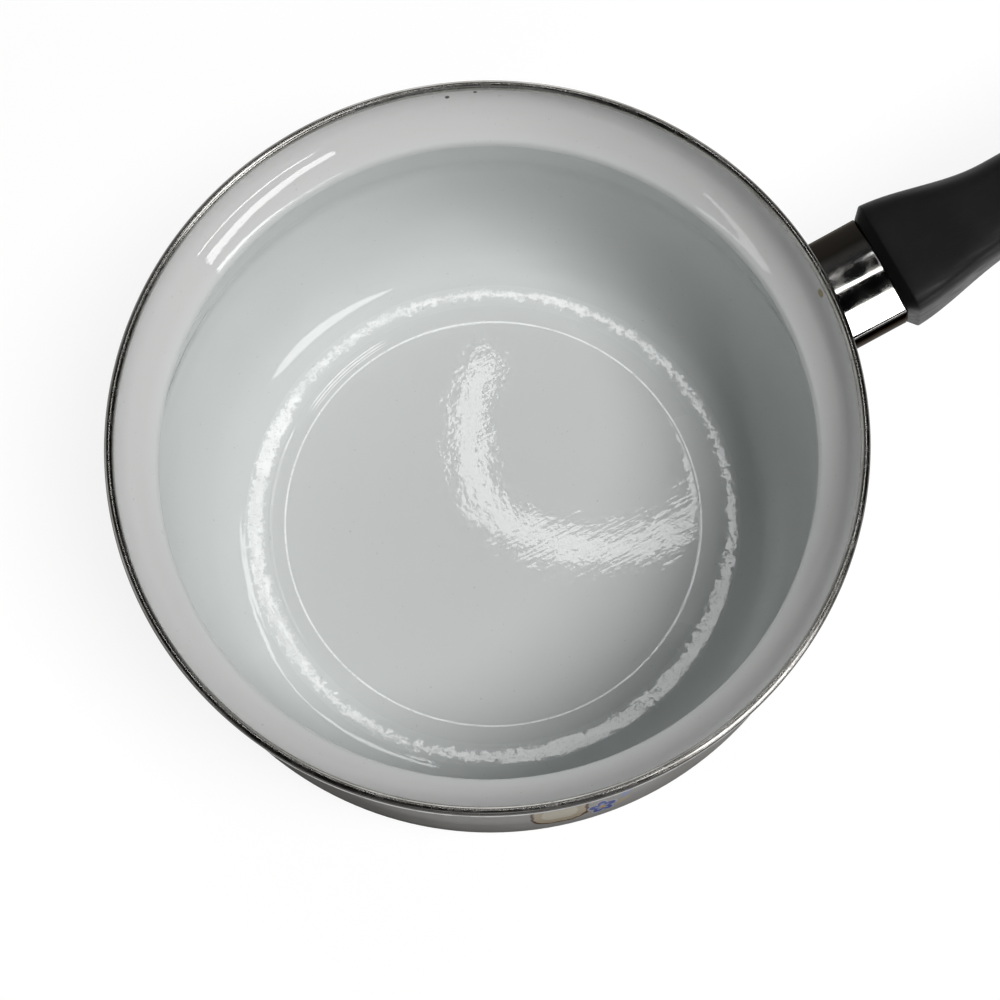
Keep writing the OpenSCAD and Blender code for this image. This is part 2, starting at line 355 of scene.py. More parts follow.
enamel_white = (0.730, 0.758, 0.752)
enamel_cloud = (0.700, 0.723, 0.716)
worn_white = (0.650, 0.663, 0.652)
painted_highlight_white = (0.84, 0.86, 0.85)
collar_white = (0.645, 0.645, 0.640)
pit_brown = (0.2, 0.19, 0.17)
wide_highlight_left = (-0.0676, 0.0281, 0.002)
wide_highlight_front = (0.0173, -0.0722, 0.002)
streak_place = (-0.0213, 0.0643, 0.002)
dulled_place = (0.0610, -0.0304, 0.002)
highlight_from, highlight_to = 0.0736, 0.0756
ripple_pitch = 0.0009
enamel, glaze = new_finish("white_enamel")
spot = place(glaze)
out = radius_of(glaze, spot)
clouds = noise(glaze, spot, 14, 3)
shade = tinted(glaze, ramp(glaze, clouds, 0.3, 0.7), enamel_white, enamel_cloud)
shade = tinted(glaze, ramp(glaze, out, 0.062, 0.078, 0.8, 0.0), shade, worn_white)
height = add(glaze, "SeparateXYZ", {0: spot}, output=2)
shade = tinted(glaze, ramp(glaze, height, 0.078, 0.085), shade, collar_white)
# a painted highlight: a ragged, sandy white band round the floor's rise, wider at the left and the
# front, stands for the ceiling tube's reflection
ragged = calc(glaze, "SUBTRACT", noise(glaze, spot, 520, 4, 0.72), 0.5)
rubbing_and_highlight = calc(glaze, "MULTIPLY_ADD", ragged, 0.0100, out)
wide = calc(
    glaze,
    "MAXIMUM",
    near(glaze, spot, wide_highlight_left, 0.030, 0.025),
    near(glaze, spot, wide_highlight_front, 0.035, 0.025),
)
low = calc(glaze, "MULTIPLY_ADD", wide, -0.0014, highlight_from)
high = calc(glaze, "MULTIPLY_ADD", wide, 0.0007, highlight_to)
rubbing_and_highlight = calc(
    glaze,
    "DIVIDE",
    calc(glaze, "SUBTRACT", rubbing_and_highlight, low),
    calc(glaze, "SUBTRACT", high, low),
)
rubbing_and_highlight = within(glaze, rubbing_and_highlight, 0.0, 1.0, 0.06)
sandy = ramp(glaze, noise(glaze, spot, 1600, 2), 0.34, 0.41)
painted_ring_highlight = calc(glaze, "MULTIPLY", rubbing_and_highlight, sandy)
shade = tinted(glaze, painted_ring_highlight, shade, painted_highlight_white)
ripples = calc(glaze, "SINE", calc(glaze, "MULTIPLY", out, 2 * math.pi / ripple_pitch))
# painted highlights: pure white streaks in one patch of the step's outer slope, following a fine
# ripple
streak_area = calc(
    glaze,
    "MULTIPLY",
    near(glaze, spot, streak_place, 0.012, 0.006),
    within(glaze, out, 0.0669, 0.0690, 0.0002),
)
painted_streaks = ramp(glaze, calc(glaze, "ADD", ripples, noise(glaze, spot, 500, 2)), 0.3, 0.8)
painted_streaks = calc(glaze, "MULTIPLY", painted_streaks, streak_area)
shade = tinted(glaze, painted_streaks, shade, (1.0, 1.0, 1.0))
# a painted highlight: a broken white line along the crest of the base's step
crest = within(glaze, out, step_radius - 0.0002, step_radius + 0.0002, 0.0001)
broken = ramp(glaze, noise(glaze, spot, 700, 2), 0.3, 0.42, 0.25, 1.0)
shade = tinted(glaze, calc(glaze, "MULTIPLY", crest, broken), shade, painted_highlight_white)
pits = noise(glaze, spot, 900, 1)
shade = tinted(glaze, ramp(glaze, pits, 0.74, 0.8, 0.0, 0.22), shade, pit_brown)

# small chips and specks: place, radius, fade and colour
marks = (
    ((0.0979, -0.0045, 0.0923), 0.0009, 0.0006, (0.33, 0.25, 0.10)),
    ((-0.0098, 0.0896, 0.0134), 0.0003, 0.0002, (0.12, 0.12, 0.12)),
    ((-0.0497, 0.0672, 0.0057), 0.00035, 0.0002, (0.08, 0.08, 0.08)),
    ((0.0432, 0.0499, 0.0017), 0.0002, 0.0002, (0.15, 0.15, 0.15)),
    ((0.0331, 0.0923, 0.0930), 0.0005, 0.0003, (0.10, 0.09, 0.08)),
    ((0.0404, 0.0895, 0.0946), 0.0004, 0.0003, (0.12, 0.10, 0.09)),
)
for middle, radius, fade, colour in marks:
    shade = tinted(glaze, near(glaze, spot, middle, radius, fade), shade, colour)
plug(glaze.inputs["Base Color"], shade)

# the relief, in metres: waves of the sheet, wear of the floor, brush lines and the ring's tilt
worn_ring = within(glaze, out, 0.0700, 0.0785, 0.0006)
worn_floor = ramp(glaze, out, 0.0655, 0.0670, 1.0, 0.15)
patches = noise(glaze, spot, 45, 2)
brushed = noise(glaze, stretched(glaze, spot, (60, 850, 1), (0, 0, -14)), 1.0, 1)
brush_depth = ramp(glaze, patches, 0.40, 0.58, 2e-6, 1.2e-5)
grain_depth = ramp(glaze, patches, 0.4, 0.62, 3e-6, 1e-6)
beyond = calc(glaze, "MAXIMUM", calc(glaze, "SUBTRACT", out, 0.0768), 0)
relief = calc(glaze, "MULTIPLY", noise(glaze, spot, 110, 1, 0.5, 0.5), 2.6e-5)
relief = calc(glaze, "MULTIPLY_ADD", noise(glaze, spot, 1500, 0), 1.6e-6, relief)
for pattern, depth in (
    (noise(glaze, spot, 480, 1), calc(glaze, "MULTIPLY", worn_floor, 1.5e-5)),
    (brushed, calc(glaze, "MULTIPLY", worn_floor, brush_depth)),
    (noise(glaze, spot, 1300, 1), calc(glaze, "MULTIPLY", worn_floor, grain_depth)),
    (noise(glaze, spot, 420, 0), calc(glaze, "MULTIPLY", worn_ring, 5e-6)),
    (noise(glaze, spot, 750, 1), calc(glaze, "MULTIPLY", crest, 1.4e-5)),
    (noise(glaze, spot, 1900, 0), calc(glaze, "MULTIPLY", worn_ring, 2.5e-6)),
    (ripples, calc(glaze, "MULTIPLY", streak_area, 3.6e-5)),
    (
        ramp(glaze, out, 0.0690, 0.0699),
        calc(glaze, "MULTIPLY", near(glaze, spot, wide_highlight_left, 0.018, 0.030), 1.3e-4),
    ),
    (
        calc(glaze, "MINIMUM", beyond, 0.005),
        calc(glaze, "MULTIPLY", near(glaze, spot, wide_highlight_left, 0.022, 0.030), 0.02),
    ),
):
    relief = calc(glaze, "MULTIPLY_ADD", pattern, depth, relief)
plug(glaze.inputs["Normal"], bumped(glaze, relief, 1.0))
dulled = calc(
    glaze,
    "MAXIMUM",
    within(glaze, out, 0.0708, 0.0772, 0.0005),
    calc(
        glaze,
        "MULTIPLY",
        within(glaze, out, 0.0656, 0.0708, 0.0002),
        near(glaze, spot, dulled_place, 0.026, 0.020),
    ),
)
dulled = calc(glaze, "MULTIPLY", dulled, 0.42)
dulled = calc(glaze, "MULTIPLY", dulled, calc(glaze, "SUBTRACT", 1.0, painted_ring_highlight))
polish = ramp(glaze, noise(glaze, spot, 60, 3), 0.3, 0.7, 0.012, 0.028)
plug(glaze.inputs["Roughness"], calc(glaze, "ADD", polish, dulled))

# the outside has a grey coat, duller than the inside and partly darkened as painted shade, with a
# small print six times round
shaded_coat_grey = (0.31, 0.306, 0.295)
shaded_coat_cloud = (0.25, 0.243, 0.232)
outer_enamel, coat = new_finish("outer_enamel")
facing = add(coat, "LayerWeight", {"Blend": 0.5}, output=1)
plug(coat.inputs["Specular IOR Level"], ramp(coat, facing, 0.45, 0.72, 0.4, 0.0))
spot = place(coat)
cloud = noise(coat, spot, 30, 4, 0.6)
shade = tinted(coat, ramp(coat, cloud, 0.3, 0.7), shaded_coat_grey, shaded_coat_cloud)

motifs = 6
motif_heading = math.radians(-101.2)
motif_height = 0.053
motif_radius = 0.098
beige = (0.36, 0.31, 0.23)
brown = (0.10, 0.06, 0.038)
petal_blue = (0.09, 0.105, 0.28)
pale_blue = (0.24, 0.27, 0.40)
pale_beige = (0.45, 0.41, 0.335)
halo_grey = (0.38, 0.38, 0.42)
blossom_yellow = (0.45, 0.30, 0.10)
print_edge = 0.00025
x, y, z = (add(coat, "SeparateXYZ", {0: spot}, output=i) for i in range(3))
heading = calc(coat, "SUBTRACT", calc(coat, "ARCTAN2", y, x), motif_heading)
share = calc(coat, "MULTIPLY_ADD", heading, motifs / (2 * math.pi), motifs + 0.5)
around = calc(coat, "SUBTRACT", calc(coat, "FRACT", share), 0.5)
around = calc(coat, "MULTIPLY", around, 2 * math.pi / motifs * motif_radius)
up = calc(coat, "SUBTRACT", z, motif_height)
worn_edge = calc(coat, "SUBTRACT", noise(coat, spot, 650, 2), 0.5)
around = calc(coat, "MULTIPLY_ADD", worn_edge, 0.0012, around)
up = calc(coat, "MULTIPLY_ADD", worn_edge, -0.0012, up)
print_place = add(coat, "CombineXYZ", {0: around, 1: up, 2: 0.0})


def vector_calc(shader, operation, a, b=(0, 0, 0), output=0):
    return add(shader, "VectorMath", {0: a, 1: b}, output, operation=operation)


def tablet_edge(middle, half_size, corner):
    """Distance outwards from the edge of a rounded tablet, negative inside."""
    local = vector_calc(coat, "SUBTRACT", print_place, (*middle, 0))
    local = vector_calc(coat, "ABSOLUTE", local)
    inner_size = [side - corner for side in half_size]
    local = vector_calc(coat, "SUBTRACT", local, (*inner_size, 0))
    local = vector_calc(coat, "MAXIMUM", local, (0, 0, 0))
    return calc(coat, "SUBTRACT", vector_calc(coat, "LENGTH", local, output=1), corner)


def blossom_edge(middle, radius, petals, depth):
    """Distance outwards from the edge of a flower, negative inside."""
    local = vector_calc(coat, "SUBTRACT", print_place, (*middle, 0))
    across, along = (add(coat, "SeparateXYZ", {0: local}, output=i) for i in range(2))
    turn = calc(coat, "ARCTAN2", across, along)
    wave = calc(coat, "COSINE", calc(coat, "MULTIPLY", turn, petals / 2))
    wave = calc(coat, "ABSOLUTE", wave)
    reach = calc(coat, "MULTIPLY_ADD", wave, depth, radius - depth)
    return calc(coat, "SUBTRACT", vector_calc(coat, "LENGTH", local, output=1), reach)


def leaf_edge(middle, length, width, lean):
    """Distance outwards from the edge of a leaning oval leaf, roughly, negative inside."""
    local = vector_calc(coat, "SUBTRACT", print_place, (*middle, 0))
    local = add(
        coat,
        "VectorRotate",
        {"Vector": local, "Angle": math.radians(lean)},
        rotation_type="Z_AXIS",
    )
    local = vector_calc(coat, "MULTIPLY", local, (2 / length, 2 / width, 0))
    away = calc(coat, "SUBTRACT", vector_calc(coat, "LENGTH", local, output=1), 1.0)
    return calc(coat, "MULTIPLY", away, width / 2)


def printed(below, edge, colour, reach=0.0):
    """Prints a colour inside an edge, grown by a reach."""
    return tinted(
        coat, ramp(coat, edge, reach - print_edge, reach + print_edge, 1.0, 0.0), below, colour
    )


tablet = tablet_edge((-0.0063, 0.0002), (0.0081, 0.0072), 0.0058)
shade = printed(shade, tablet, brown)
shade = printed(shade, tablet, beige, -0.0009)
tablet_band = tablet_edge((-0.0063, 0.0002), (0.0050, 0.0036), 0.0030)
shade = printed(shade, tablet_band, pale_beige)
for middle, length, width, lean, colour in (
    ((0.0112, -0.0035), 0.0052, 0.0022, -35, beige),
    ((0.0128, 0.0012), 0.0060, 0.0024, -62, pale_blue),
    ((0.0103, 0.0052), 0.0056, 0.0022, -100, beige),
    ((-0.0150, 0.0046), 0.0034, 0.0014, 60, pale_blue),
):
    shade = printed(shade, leaf_edge(middle, length, width, lean), colour)
blossom_place = (0.0056, -0.0030)
blossom = blossom_edge(blossom_place, 0.0040, 5, 0.0018)
shade = printed(shade, blossom, halo_grey, 0.0005)
shade = printed(shade, blossom, petal_blue)
shade = printed(shade, blossom, pale_blue, -0.0017)
shade = printed(shade, leaf_edge(blossom_place, 0.0017, 0.0017, 0), blossom_yellow)
plug(coat.inputs["Base Color"], shade)
plug(coat.inputs["Roughness"], ramp(coat, noise(coat, spot, 70, 3), 0.3, 0.7, 0.10, 0.2))
plug(
    coat.inputs["Normal"],
    bumped(coat, noise(coat, spot, 170, 3, 0.55, 0.4), 6.0e-6),
)

finished(
    pan, "enamel_pan", "pan", "pan_body", [enamel, outer_enamel], 50
)

# ---------------------------------------------------------------- Rim band
# A thin stainless strip, rolled in a U over the pan's raw edge: short leg inside, long leg outside.
# It is polished, and heat has left brownish tarnish and small dents on it.
band_gap = 0.00005
band_hollow = wall / 2 + band_gap
outer_leg = 0.004
inner_leg = 0.0019
crown_centre = Vector((sheet_radius, edge_height))
band_path = [Vector((rim_radius, pan_height - outer_leg))]
band_path += arc(crown_centre, crown_radius, 0, 180, 24)
band_path += [
    Vector((sheet_radius - crown_radius, pan_height - inner_leg)),
    Vector((sheet_radius - band_hollow, pan_height - inner_leg)),
]
band_path += arc(crown_centre, band_hollow, 180, 0, 8)
band_path.append(Vector((sheet_radius + band_hollow, pan_height - outer_leg)))
band = bmesh.new()
add_turned(band, band_path, steps=3 * turn_steps, closed=True)
bmesh.ops.remove_doubles(band, verts=band.verts, dist=1e-7)
bmesh.ops.recalc_face_normals(band, faces=band.faces)

steel_light = (0.46, 0.45, 0.43)
steel_dull = (0.31, 0.30, 0.28)
tarnish = (0.15, 0.13, 0.11)
outer_side_shade = (0.05, 0.047, 0.043)
stainless, steel = new_finish("stainless_band", metallic=1.0)
spot = place(steel)
blotches = noise(steel, spot, 260, 3, 0.6)
film = noise(steel, spot, 60, 3)
shade = tinted(steel, ramp(steel, film, 0.35, 0.65), steel_light, steel_dull)
shade = tinted(steel, ramp(steel, blotches, 0.6, 0.75, 0.0, 0.35), shade, tarnish)
# painted shade: the band's outer side goes nearly black
painted_outer_shade = ramp(steel, radius_of(steel, spot), 0.0993, 0.0999)
shade = tinted(steel, painted_outer_shade, shade, outer_side_shade)
plug(steel.inputs["Base Color"], shade)
plug(steel.inputs["Roughness"], ramp(steel, blotches, 0.4, 0.7, 0.20, 0.32))
dents = noise(steel, spot, 320, 1)
# towards the front the crown is pressed flat, which the normal stands for
flat_reach = 0.00055
flat_bend = 290
off_crown = calc(steel, "SUBTRACT", radius_of(steel, spot), sheet_radius)
off_crown = calc(steel, "ABSOLUTE", off_crown)
off_crown = calc(steel, "MINIMUM", off_crown, flat_reach)
flattened = calc(steel, "MULTIPLY", off_crown, off_crown)
flattened = calc(steel, "MULTIPLY", flattened, flat_bend)
pressed = near(steel, spot, (0.0402, -0.0903, 0.0985), 0.022, 0.028)
flattened = calc(steel, "MULTIPLY", flattened, pressed)
crown_relief = bumped(steel, flattened, 1.0)
plug(steel.inputs["Normal"], bumped(steel, dents, 4.0e-6, crown_relief))
finished(band, "steel_band", "pan", "rim_band", [stainless], 50)

# ---------------------------------------------------------------- Handle bracket
# A short drawn steel cup, welded to the pan's side under the ferrule and enamelled with the pan.
# Only the bolt that pulls the grip home reaches it.
bracket_enamel, base_coat = new_finish("bracket_enamel")
spot = place(base_coat)
plug(
    base_coat.inputs["Base Color"],
    tinted(
        base_coat,
        ramp(base_coat, noise(base_coat, spot, 120, 3), 0.3, 0.7),
        (0.66, 0.69, 0.67),
        (0.52, 0.53, 0.50),
    ),
)
plug(
    base_coat.inputs["Roughness"],
    ramp(base_coat, noise(base_coat, spot, 300, 2), 0.3, 0.7, 0.15, 0.3),
)
plug(base_coat.inputs["Normal"], bumped(base_coat, noise(base_coat, spot, 260, 3), 2e-5))


def dress(node, material):
    """Gives a CAD node that stays its material and slot."""
    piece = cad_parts[node]
    piece.data.materials.clear()
    piece.data.materials.append(material)


dress("handle_bracket", bracket_enamel)

# ---------------------------------------------------------------- Ferrule
# A pressed steel sleeve, cut to the pan's side and nickel and chrome plated to a mirror.
# Years of wiping have left fine scratches along it, with pitting near its edges.
pan_side = 0.094808
seat_height = 0.0634
handle_rise = 12
ferrule_length = 0.0293
ferrule_width = 0.031
ferrule_height = 0.019
ferrule_side = 0.012
ferrule_edge = 0.0014
ferrule_sheet = 0.0008
seat_gap = 0.00005
seat_search = 0.012
halvings = 30
handle_place = Matrix.Translation((pan_side, 0, seat_height)) @ Matrix.Rotation(
    math.radians(-handle_rise), 4, "Y"
)


def ferrule_outline(inset):
    """Half of the sleeve's outline: a side's edge, the arch, and the other side's edge."""
    rise = (ferrule_height - ferrule_side) / 2
    arch_radius = ((ferrule_width / 2) ** 2 + rise**2) / (2 * rise)
    arch_centre = Vector((0, ferrule_height / 2 - arch_radius))
    edge = max(ferrule_edge - inset, ferrule_edge / 4)
    across = ferrule_width / 2 - inset - edge
    up = math.sqrt((arch_radius - inset - edge) ** 2 - across**2)
    turn = math.degrees(math.atan2(up, across))
    half = arc(arch_centre + Vector((across, up)), edge, 0, turn, 6)
    half += arc(arch_centre, arch_radius - inset, turn, 180 - turn, 28)[1:-1]
    half += arc(arch_centre + Vector((-across, up)), edge, 180 - turn, 180, 6)
    return half + [-point for point in half]


def pan_reach(height):
    """Radius of the pan's outer face at a height."""
    for upper, lower in zip(outside, outside[1:]):
        if lower.y <= height < upper.y:
            return lower.lerp(upper, (height - lower.y) / (upper.y - lower.y)).x
    return outside[0].x


def on_pan(point):
    """Slides a point of the handle along its axis until it meets the pan's side."""
    low, high = -seat_search, seat_search
    for _ in range(halvings):
        middle = (low + high) / 2
        placed = handle_place @ Vector((middle, point.x, point.y))
        if placed.xy.length > pan_reach(placed.z) + seat_gap:
            high = middle
        else:
            low = middle
    return high


def add_sleeve_ring(mesh, outline, share):
    """Adds a ring of the sleeve at a share of the way from the pan to the grip."""
    corners = []
    for point in outline:
        start = on_pan(point)
        along = start + (ferrule_length - start) * share
        corners.append(mesh.verts.new(handle_place @ Vector((along, point.x, point.y))))
    return [mesh.edges.new(pair) for pair in zip(corners, corners[1:] + corners[:1])]


sleeve = bmesh.new()
outer, inner = ferrule_outline(0), ferrule_outline(ferrule_sheet)
shares = [0, 0.015] + [i / 12 for i in range(1, 12)] + [0.985, 1]
rings = [add_sleeve_ring(sleeve, outer, share) for share in shares]
rings += [add_sleeve_ring(sleeve, inner, share) for share in reversed(shares)]
for ring, following in zip(rings, rings[1:] + rings[:1]):
    bmesh.ops.bridge_loops(sleeve, edges=ring + following)
bmesh.ops.bevel(
    sleeve,
    geom=rings[0] + rings[len(shares) - 1],
    offset=0.0002,
    segments=2,
    profile=0.5,
    affect="EDGES",
    material=-1,
)
bmesh.ops.recalc_face_normals(sleeve, faces=sleeve.faces)
plating_bright = (0.80, 0.79, 0.78)
plating_dull = (0.62, 0.60, 0.57)
pit_black = (0.08, 0.06, 0.045)
dark_reflection_brown = (0.085, 0.074, 0.062)
side_shade_grey = (0.065, 0.062, 0.06)
chromed, chrome = new_finish("chromed_ferrule", metallic=1.0)
plug(chrome.inputs["Specular Tint"], (0.20, 0.19, 0.18))
spot = place(chrome)
pits = noise(chrome, spot, 1500, 2, 0.6)
film = noise(chrome, spot, 160, 4, 0.6)
wiped = noise(
    chrome, stretched(chrome, spot, (70, 2600, 2600), (0, handle_rise, 0)), 1.0, 2, 0.6
)
shade = tinted(chrome, ramp(chrome, film, 0.35, 0.7), plating_bright, plating_dull)
shade = tinted(chrome, ramp(chrome, pits, 0.68, 0.74, 0.0, 0.8), shade, pit_black)
# a painted reflection: the far side of the arch is tinted dark brown, for the dark room it mirrors
across = add(chrome, "SeparateXYZ", {0: spot}, output=1)
painted_dark_reflection = ramp(chrome, across, 0.004, 0.009)
shade = tinted(chrome, painted_dark_reflection, shade, dark_reflection_brown)
# painted shade: the sleeve's rounded side edges are dark grey
painted_side_shade = ramp(chrome, calc(chrome, "ABSOLUTE", across), 0.0147, 0.0153)
shade = tinted(chrome, painted_side_shade, shade, side_shade_grey)
plug(chrome.inputs["Base Color"], shade)
plug(chrome.inputs["Roughness"], ramp(chrome, film, 0.35, 0.75, 0.04, 0.12))
dished = calc(chrome, "MULTIPLY", add(chrome, "SeparateXYZ", {0: spot}), -0.085)
flatter = calc(chrome, "MULTIPLY", calc(chrome, "MULTIPLY", across, across), 3.5)
dished = calc(chrome, "ADD", dished, flatter)
plug(
    chrome.inputs["Normal"],
    bumped(chrome, film, 6e-6, bumped(chrome, wiped, 1.2e-6, bumped(chrome, dished, 1.0))),
)
finished(sleeve, "chrome_ferrule", "pan", "ferrule", [chromed], 50)

# ---------------------------------------------------------------- Grip
# Black phenolic, moulded in one piece with a spigot that stands in the ferrule and a recess for the
# bolt's head. Its front face is chamfered; the satin surface is slightly rubbed on top.
grip_start = ferrule_length + seat_gap
grip_length = 0.140
front_chamfer = 0.0026
tail_round = 0.006
recess_depth = 0.009
recess_radius = 0.0061
wire_radius = 0.00155
wire_back = 0.009
tail_turn = math.radians(75)
tail_steps = 10
tail_inset = 0.0005
bore_overrun = 0.01
side_bore_end = 0.02
loop_half_width = 0.0149
pin_length = 0.0062
pin_clearance = 0.0004
place_shares = (0, 0.27, 0.56, 1)
widths = (0.0355, 0.025, 0.027, 0.024)
heights = (0.023, 0.017, 0.0205, 0.0165)
squares = (7, 4, 3.2, 4)
grip_corners = 72
grip_stations = 56


def size_at(sizes, share):
    """One of the grip's sizes at a share of its length."""
    k = sum(share >= limit for limit in place_shares[1:3])
    t = (share - place_shares[k]) / (place_shares[k + 1] - place_shares[k])
    return sizes[k] + (sizes[k + 1] - sizes[k]) * t * t * (3 - 2 * t)


def squared(value, square):
    return math.copysign(abs(value) ** (2 / square), value)


def add_ring(mesh, along, half_width, half_height, square=2.0, capped=False):
    """Adds a ring across the handle's axis, and returns its edges."""
    made = bmesh.ops.create_circle(
        mesh, segments=grip_corners, radius=1, cap_ends=capped
    )["verts"]
    for i, corner in enumerate(made):
        turn = math.atan2(corner.co.y, corner.co.x) + math.pi / grip_corners
        corner.co = handle_place @ Vector(
            (
                along,
                half_width * squared(math.cos(turn), square),
                half_height * squared(math.sin(turn), square),
            )
        )
    return list({edge for corner in made for edge in corner.link_edges})


def add_grip_ring(mesh, along, drawn_in, capped=False):
    share = (along - grip_start) / grip_length
    return add_ring(
        mesh,
        along,
        size_at(widths, share) / 2 - drawn_in,
        size_at(heights, share) / 2 - drawn_in,
        size_at(squares, share),
        capped,
    )


grip_end = grip_start + grip_length
body_length = grip_length - front_chamfer - tail_round
moulding = bmesh.new()
rings = [add_grip_ring(moulding, grip_start, front_chamfer, capped=True)]
for i in range(grip_stations + 1):
    station = grip_start + front_chamfer + body_length * i / grip_stations
    rings.append(add_grip_ring(moulding, station, 0))
for i in range(1, tail_steps + 1):
    turn = tail_turn * i / tail_steps
    rings.append(
        add_grip_ring(
            moulding,
            grip_end - tail_round * (1 - math.sin(turn) / math.sin(tail_turn)),
            tail_round * (1 - math.cos(turn)),
        )
    )
tail_in = tail_round * (1 - math.cos(tail_turn)) + tail_inset
rings.append(add_grip_ring(moulding, grip_end, tail_in, True))
for ring, following in zip(rings, rings[1:]):
    bmesh.ops.bridge_loops(moulding, edges=ring + following)
bmesh.ops.bevel(
    moulding,
    geom=[edge for edge in rings[0] + rings[1] if edge.is_valid],
    offset=0.00035,
    segments=3,
    profile=0.5,
    affect="EDGES",
    material=-1,
)
bmesh.ops.recalc_face_normals(moulding, faces=moulding.faces)


def add_bore(mesh, place, radius, start, end):
    """Adds a closed round plug to cut with, along the z axis of a place."""
    bmesh.ops.create_cone(
        mesh,
        cap_ends=True,
        segments=64,
        radius1=radius,
        radius2=radius,
        depth=end - start,
        matrix=place @ Matrix.Translation((0, 0, (start + end) / 2)),
    )


def cut_from(piece, plugs):
    """Cuts closed plugs out of a piece's mesh."""
    tool_data = bpy.data.meshes.new("plugs")
    plugs.to_mesh(tool_data)
    plugs.free()
    tool = bpy.data.objects.new("plugs", tool_data)
    bpy.context.scene.collection.objects.link(tool)
    cut = piece.modifiers.new("bores", "BOOLEAN")
    cut.operation = "DIFFERENCE"
    cut.solver = "FAST"
    cut.object = tool
    depsgraph = bpy.context.evaluated_depsgraph_get()
    done = bpy.data.meshes.new_from_object(piece.evaluated_get(depsgraph))
    piece.modifiers.clear()
    blank = piece.data
    done.name = blank.name
    piece.data = done
    bpy.data.meshes.remove(blank)
    bpy.data.objects.remove(tool)
    bpy.data.meshes.remove(tool_data)


along_axis = handle_place @ Matrix.Rotation(math.radians(90), 4, "Y")
pivot_along = grip_end - wire_back
pin_reach = loop_half_width - pin_length - pin_clearance
bores = bmesh.new()
add_bore(
    bores, along_axis, recess_radius, grip_end - recess_depth, grip_end + bore_overrun
)
for side in (-1, 1):
    across = handle_place @ Matrix.Translation((pivot_along, 0, 0))
    across = across @ Matrix.Rotation(math.radians(-90 * side), 4, "X")
    add_bore(bores, across, wire_radius, pin_reach, side_bore_end)

resin_black = (0.004, 0.004, 0.0044)
resin_warm = (0.008, 0.0076, 0.0076)
dust_grey = (0.10, 0.095, 0.09)
phenolic, resin = new_finish("black_phenolic", specular=0.3)
spot = place(resin)
flow = noise(resin, spot, 55, 4, 0.6)
rubbing_and_highlight = noise(
    resin, stretched(resin, spot, (60, 900, 900), (0, handle_rise, 0)), 1.0, 3, 0.6
)
shade = tinted(resin, ramp(resin, flow, 0.3, 0.7), resin_black, resin_warm)
dust = noise(resin, spot, 1300, 2)
shade = tinted(resin, ramp(resin, dust, 0.72, 0.78, 0.0, 0.2), shade, dust_grey)
plug(resin.inputs["Base Color"], shade)
plug(resin.inputs["Roughness"], ramp(resin, rubbing_and_highlight, 0.3, 0.7, 0.36, 0.5))
plug(
    resin.inputs["Normal"],
    bumped(resin, noise(resin, spot, 1600, 2), 8e-6, bumped(resin, flow, 4e-5)),
)
phenolic_grip = finished(
    moulding, "phenolic_grip", "pan", "grip", [phenolic], 35
)
cut_from(phenolic_grip, bores)
phenolic_grip.data.set_sharp_from_angle(angle=math.radians(35))

# ---------------------------------------------------------------- Tie bolt, washer and nut
# One long steel bolt runs through the grip from the tail recess into a nut held in the bracket.
# All three are zinc plated, with a faint straw and blue bloom and turning marks.
zinc_grey = (0.60, 0.61, 0.62)
zinc_straw = (0.58, 0.54, 0.46)
zinc_stain = (0.2, 0.17, 0.14)
plated, zinc = new_finish("plated_fastener", metallic=1.0)
spot = place(zinc)
bloom = noise(zinc, spot, 320, 3, 0.6)
shade = tinted(zinc, ramp(zinc, bloom, 0.35, 0.65), zinc_grey, zinc_straw)
stains = noise(zinc, spot, 900, 2)
shade = tinted(zinc, ramp(zinc, stains, 0.66, 0.76, 0.0, 0.6), shade, zinc_stain)
plug(zinc.inputs["Base Color"], shade)
plug(zinc.inputs["Roughness"], ramp(zinc, bloom, 0.3, 0.7, 0.22, 0.4))
plug(zinc.inputs["Normal"], bumped(zinc, noise(zinc, spot, 2400, 2), 6e-6))
for node in ("tie_bolt", "bolt_washer", "bracket_nut"):
    dress(node, plated)

# ---------------------------------------------------------------- Hanging loop
# A bright steel wire bent to a bow, with its ends sprung into holes in the grip's sides.
# It swings on them, and the plating is worn dull where it hangs on a hook.
wire_bright = (0.72, 0.71, 0.69)
wire_dull = (0.52, 0.50, 0.47)
wire_finish, wire = new_finish("loop_wire", metallic=1.0)
spot = place(wire)
drawn = noise(wire, spot, 420, 3, 0.6)
shade = tinted(wire, ramp(wire, drawn, 0.35, 0.7), wire_bright, wire_dull)
plug(wire.inputs["Base Color"], shade)
plug(wire.inputs["Roughness"], ramp(wire, drawn, 0.3, 0.7, 0.12, 0.3))
plug(wire.inputs["Normal"], bumped(wire, noise(wire, spot, 1800, 2), 5e-6))
dress("hanging_loop", wire_finish)

# ---------------------------------------------------------------- Studio floor
# A plain white table top under the pan, which is not part of it. The camera and mirrors see it
# glow evenly, and it keeps the pan's shadow.
table_half = 3.0
paper_glow = 0.84
table_mesh = bmesh.new()
bmesh.ops.create_grid(table_mesh, x_segments=1, y_segments=1, size=table_half)
table_data = bpy.data.meshes.new("table_top")
table_mesh.to_mesh(table_data)
table_mesh.free()
table_top = bpy.data.objects.new("table_top", table_data)
bpy.context.scene.collection.objects.link(table_top)
paper, paint = new_finish("table_paper", specular=0.0)
plug(paint.inputs["Base Color"], (0.2, 0.2, 0.2))
plug(paint.inputs["Roughness"], 1.0)
seen = calc(
    paint,
    "MAXIMUM",
    add(paint, "LightPath", output=0),
    calc(
        paint,
        "MAXIMUM",
        add(paint, "LightPath", output=3),
        add(paint, "LightPath", output=6),
    ),
)
glow = calc(paint, "MULTIPLY", seen, paper_glow)
plug(paint.inputs["Emission Color"], (1, 1, 1))
